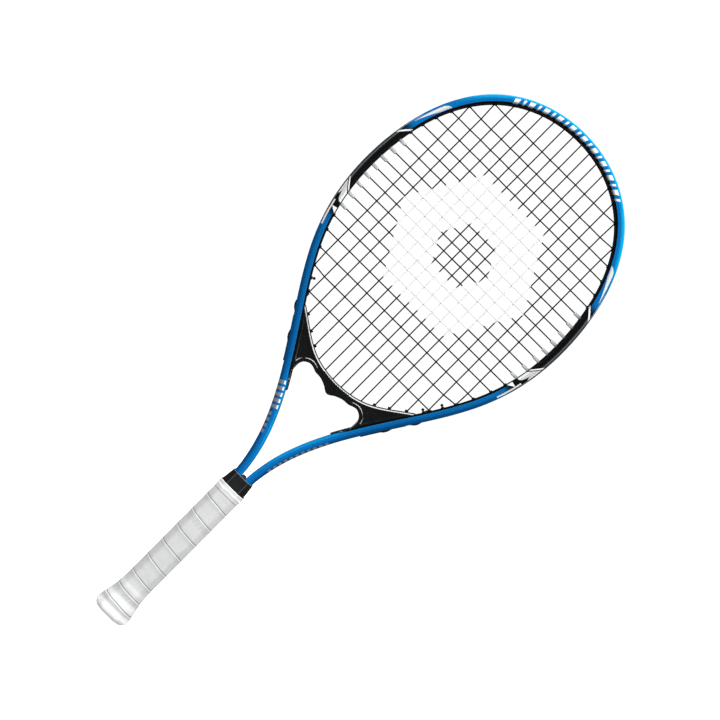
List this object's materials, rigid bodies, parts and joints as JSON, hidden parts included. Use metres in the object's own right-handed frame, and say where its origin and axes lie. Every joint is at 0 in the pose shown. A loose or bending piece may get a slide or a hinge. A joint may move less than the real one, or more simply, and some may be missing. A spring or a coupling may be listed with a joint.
{
  "type": "tennis racket",
  "caption": "Strung tennis racket with an oval aluminium hoop, open throat with moulded yoke, and a spirally wrapped octagonal grip.",
  "frame": {"origin": "centre of the flat end of the butt, on the racket's long axis", "axes": "+Z along the racket from the butt to the tip of the hoop, +X across the width of the hoop, +Y through the depth of the frame; the face towards -Y is called the front"},
  "size_m": [0.2864, 0.0388, 0.6985],
  "materials": {
    "frame_paint": "gloss",
    "grommet_plastic": "satin",
    "white_rubber": "matte",
    "string": "satin",
    "yoke_plastic": "gloss",
    "pallet_plastic": "matte",
    "bright_metal": "satin",
    "steel_wire": "satin",
    "cap_plastic": "matte",
    "badge_plastic": "gloss",
    "grip_leather": "matte",
    "tape": "satin",
    "collar_rubber": "matte"
  },
  "bodies": {
    "root": {"frame_tube": "frame_paint", "crown_grommet_strip": "grommet_plastic", "side_grommet_strip_left": "grommet_plastic", "side_grommet_strip_right": "grommet_plastic", "shaft_grommet_strip_left": "grommet_plastic", "shaft_grommet_strip_right": "grommet_plastic", "shock_sleeves_left": "white_rubber", "shock_sleeves_right": "white_rubber", "main_string": "string", "cross_string": "string", "throat_yoke": "yoke_plastic", "yoke_grommets": "grommet_plastic", "butt_cap_staples": "steel_wire", "pallet_front": "pallet_plastic", "pallet_back": "pallet_plastic", "pallet_rivets": "bright_metal", "butt_cap": "cap_plastic", "butt_badge": "badge_plastic", "grip_tack": "steel_wire", "grip_wrap": "grip_leather", "finishing_tape": "tape", "rubber_collar": "collar_rubber"}
  },
  "joints": []
}
